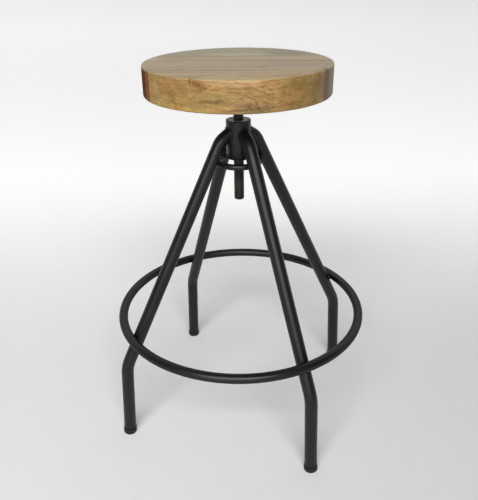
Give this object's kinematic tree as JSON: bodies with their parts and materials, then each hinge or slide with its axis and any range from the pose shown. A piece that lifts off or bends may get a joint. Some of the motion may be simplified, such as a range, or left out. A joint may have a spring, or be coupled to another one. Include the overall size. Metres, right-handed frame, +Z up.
{
  "type": "swivel bar stool",
  "caption": "Bar stool with a round wooden seat on a screw spindle, bent steel tube legs and a foot ring; turning the seat sets its height.",
  "frame": {"origin": "on the floor, on the spindle's axis", "axes": "+Z up along the spindle; -Y towards the front; the legs stand near the diagonals and the seat's boards run 13.5 degrees off +X"},
  "size_m": [0.5335, 0.5336, 0.77],
  "materials": {
    "seat_wood": "satin oiled boards",
    "black_coat": "satin powder coat",
    "dark_steel": "blackened steel",
    "zinc_plate": "zinc plated",
    "white_nylon": "natural nylon",
    "foot_plastic": "moulded"
  },
  "bodies": {
    "frame": {"hub_sleeve": "black_coat", "screw_nut": "dark_steel", "guide_bush": "dark_steel", "leg_right_front": "black_coat", "leg_left_front": "black_coat", "leg_left_back": "black_coat", "leg_right_back": "black_coat", "brace_hoop": "black_coat", "foot_ring": "black_coat", "hub_welds": "black_coat", "hoop_welds": "black_coat", "foot_ring_welds": "black_coat", "foot_cap_right_front": "foot_plastic", "foot_cap_left_front": "foot_plastic", "foot_cap_left_back": "foot_plastic", "foot_cap_right_back": "foot_plastic"},
    "washer": {"thrust_washer": "white_nylon"},
    "seat": {"seat_board_front": "seat_wood", "seat_board_second": "seat_wood", "seat_board_third": "seat_wood", "seat_board_back": "seat_wood", "mounting_plate": "black_coat", "plate_screws": "zinc_plate", "spindle_boss": "black_coat", "boss_weld": "black_coat", "screw_spindle": "dark_steel"}
  },
  "joints": [
    {"name": "seat_lift", "type": "slide", "parent": "frame", "child": "washer", "axis": [0, 0, 1], "range_m": [-0.02325, 0.0875]},
    {"name": "seat_turn", "type": "hinge", "parent": "washer", "child": "seat", "pos_m": [0, 0, 0.7], "axis": [0, 0, 1], "range_deg": [-3348, 12600]}
  ],
  "couplings": [
    {"joint": "seat_lift", "follows": "seat_turn", "m_per_rad": 0.00039789}
  ]
}
